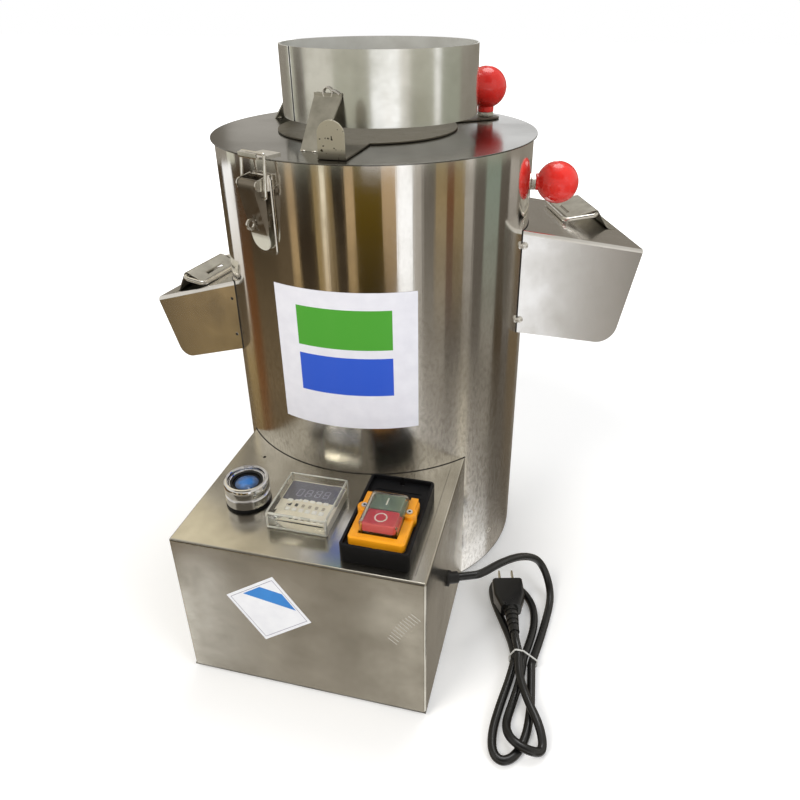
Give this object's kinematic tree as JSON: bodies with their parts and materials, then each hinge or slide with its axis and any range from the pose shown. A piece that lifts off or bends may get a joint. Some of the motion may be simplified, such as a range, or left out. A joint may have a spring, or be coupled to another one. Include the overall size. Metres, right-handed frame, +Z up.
{
  "type": "chestnut peeling machine",
  "caption": "Upright sheet-steel nut peeler: feed ring and gate on the lid, outlet hoods with wire handles at the sides, control box in front, mains cord and plug.",
  "frame": {"origin": "on the drum axis at the floor, under the middle foot", "axes": "+Z up along the drum axis, -Y towards the control box, +X towards the larger hood"},
  "size_m": [0.4459, 0.4313, 0.4956],
  "materials": {
    "polished_steel": "mirror polished stainless sheet",
    "satin_steel": "satin stainless sheet",
    "plain_steel": "plain mill finish",
    "bright_zinc": "bright plated",
    "chrome": "polished",
    "red_ball": "glossy phenolic",
    "black_rubber": "matt",
    "liner_rubber": "matt, soft",
    "black_plastic": "fine grain",
    "blue_lens": "clear tinted",
    "beige_plastic": "fine grain",
    "dark_window": "glossy",
    "grey_key": "matt",
    "clear_plastic": "clear",
    "soft_clear": "soft clear vinyl",
    "yellow_plate": "semi gloss",
    "green_button": "semi gloss",
    "red_button": "semi gloss",
    "motor_paint": "semi gloss paint",
    "cast_disc": "as cast",
    "cord_jacket": "smooth, slight sheen",
    "tie_plastic": "smooth",
    "brass": "bright"
  },
  "bodies": {
    "machine": {"base_plate": "plain_steel", "rubber_feet": "black_rubber", "control_box": "satin_steel", "drum_shell": "polished_steel", "lid_plate": "polished_steel", "hopper_ring": "satin_steel", "hopper_legs": "satin_steel", "lid_knob": "red_ball", "lid_knob_stud": "bright_zinc", "lid_catches": "bright_zinc", "right_hood": "satin_steel", "left_hood": "satin_steel", "hood_rivets": "bright_zinc", "right_handle_clip": "bright_zinc", "left_handle_clip": "bright_zinc", "door_guides": "plain_steel", "chamber_deck": "plain_steel", "wall_liner": "liner_rubber", "motor_housing": "motor_paint", "motor_bolts": "bright_zinc", "shaft_seal": "black_rubber", "button_bezel": "chrome", "button_body": "black_plastic", "timer_case": "beige_plastic", "timer_face": "dark_window", "switch_base": "black_plastic", "switch_plate": "yellow_plate", "switch_screws": "bright_zinc", "switch_boot": "soft_clear", "cord_grommet": "black_rubber", "cord_run": "cord_jacket", "cord_hank": "cord_jacket", "cord_tie": "tie_plastic", "plug_body": "black_rubber", "plug_prongs": "brass", "front_latch_base": "bright_zinc", "rear_latch_base": "bright_zinc"},
    "rotor": {"motor_shaft": "plain_steel", "peeling_disc": "cast_disc", "disc_nut": "bright_zinc"},
    "gate": {"feed_gate": "satin_steel"},
    "door": {"discharge_door": "plain_steel", "door_stud": "bright_zinc", "door_knob": "red_ball"},
    "lens": {"button_lens": "blue_lens"},
    "cover": {"timer_cover": "clear_plastic"},
    "start": {"start_button": "green_button"},
    "stop": {"stop_button": "red_button"},
    "right_bail": {"right_handle_bail": "bright_zinc"},
    "left_bail": {"left_handle_bail": "bright_zinc"},
    "front_lever": {"front_latch_lever": "bright_zinc"},
    "front_wire": {"front_latch_bail": "bright_zinc"},
    "rear_lever": {"rear_latch_lever": "bright_zinc"},
    "rear_wire": {"rear_latch_bail": "bright_zinc"},
    "key_1": {"timer_key_1": "grey_key"},
    "key_2": {"timer_key_2": "grey_key"},
    "key_3": {"timer_key_3": "grey_key"},
    "key_4": {"timer_key_4": "grey_key"},
    "key_5": {"timer_key_5": "grey_key"},
    "key_6": {"timer_key_6": "grey_key"}
  },
  "joints": [
    {"name": "rotor_spin", "type": "hinge", "parent": "machine", "child": "rotor", "pos_m": [0, 0, 0], "axis": [0, 0, 1], "continuous": true},
    {"name": "feed_gate_swing", "type": "hinge", "parent": "machine", "child": "gate", "pos_m": [0.0865, 0.078, 0.42625], "axis": [0, 0, 1], "range_deg": [0, 50]},
    {"name": "discharge_door_slide", "type": "hinge", "parent": "machine", "child": "door", "pos_m": [0, 0, 0.381], "axis": [0, 0, 1], "range_deg": [0, 62]},
    {"name": "front_latch_lever_swing", "type": "hinge", "parent": "machine", "child": "front_lever", "pos_m": [-0.05664, -0.14019, 0.4067], "axis": [-0.9272, 0.3746, 0], "range_deg": [0, 100]},
    {"name": "front_latch_bail_swing", "type": "hinge", "parent": "front_lever", "child": "front_wire", "pos_m": [-0.05545, -0.13723, 0.39628], "axis": [-0.9272, 0.3746, 0], "range_deg": [-75, 0]},
    {"name": "rear_latch_lever_swing", "type": "hinge", "parent": "machine", "child": "rear_lever", "pos_m": [-0.08455, 0.12535, 0.4067], "axis": [0.829, 0.5592, 0], "range_deg": [0, 100]},
    {"name": "rear_latch_bail_swing", "type": "hinge", "parent": "rear_lever", "child": "rear_wire", "pos_m": [-0.08277, 0.12271, 0.39628], "axis": [0.829, 0.5592, 0], "range_deg": [-75, 0]},
    {"name": "right_handle_swing", "type": "hinge", "parent": "machine", "child": "right_bail", "pos_m": [0.18971, 0.08728, 0.34365], "axis": [-0.3584, 0.9336, 0], "range_deg": [0, 110]},
    {"name": "left_handle_swing", "type": "hinge", "parent": "machine", "child": "left_bail", "pos_m": [-0.16665, -0.03969, 0.29592], "axis": [-0.1219, -0.9925, 0], "range_deg": [0, 110]},
    {"name": "push_button_press", "type": "slide", "parent": "machine", "child": "lens", "axis": [0, 0, -1], "range_m": [0, 0.003], "stiffness_N_per_m": 600},
    {"name": "timer_cover_swing", "type": "hinge", "parent": "machine", "child": "cover", "pos_m": [-0.0084, -0.1685, 0.152], "axis": [-1, 0, 0], "range_deg": [0, 95]},
    {"name": "start_button_press", "type": "slide", "parent": "machine", "child": "start", "axis": [0, 0, -1], "range_m": [0, 0.003], "stiffness_N_per_m": 1200},
    {"name": "stop_button_press", "type": "slide", "parent": "machine", "child": "stop", "axis": [0, 0, -1], "range_m": [0, 0.003], "stiffness_N_per_m": 1200},
    {"name": "timer_key_1_press", "type": "slide", "parent": "machine", "child": "key_1", "axis": [0, 0, -1], "range_m": [0, 0.0008], "stiffness_N_per_m": 500},
    {"name": "timer_key_2_press", "type": "slide", "parent": "machine", "child": "key_2", "axis": [0, 0, -1], "range_m": [0, 0.0008], "stiffness_N_per_m": 500},
    {"name": "timer_key_3_press", "type": "slide", "parent": "machine", "child": "key_3", "axis": [0, 0, -1], "range_m": [0, 0.0008], "stiffness_N_per_m": 500},
    {"name": "timer_key_4_press", "type": "slide", "parent": "machine", "child": "key_4", "axis": [0, 0, -1], "range_m": [0, 0.0008], "stiffness_N_per_m": 500},
    {"name": "timer_key_5_press", "type": "slide", "parent": "machine", "child": "key_5", "axis": [0, 0, -1], "range_m": [0, 0.0008], "stiffness_N_per_m": 500},
    {"name": "timer_key_6_press", "type": "slide", "parent": "machine", "child": "key_6", "axis": [0, 0, -1], "range_m": [0, 0.0008], "stiffness_N_per_m": 500}
  ],
  "couplings": [
    {"joint": "front_latch_bail_swing", "follows": "front_latch_lever_swing", "ratio": -0.75},
    {"joint": "rear_latch_bail_swing", "follows": "rear_latch_lever_swing", "ratio": -0.75}
  ]
}
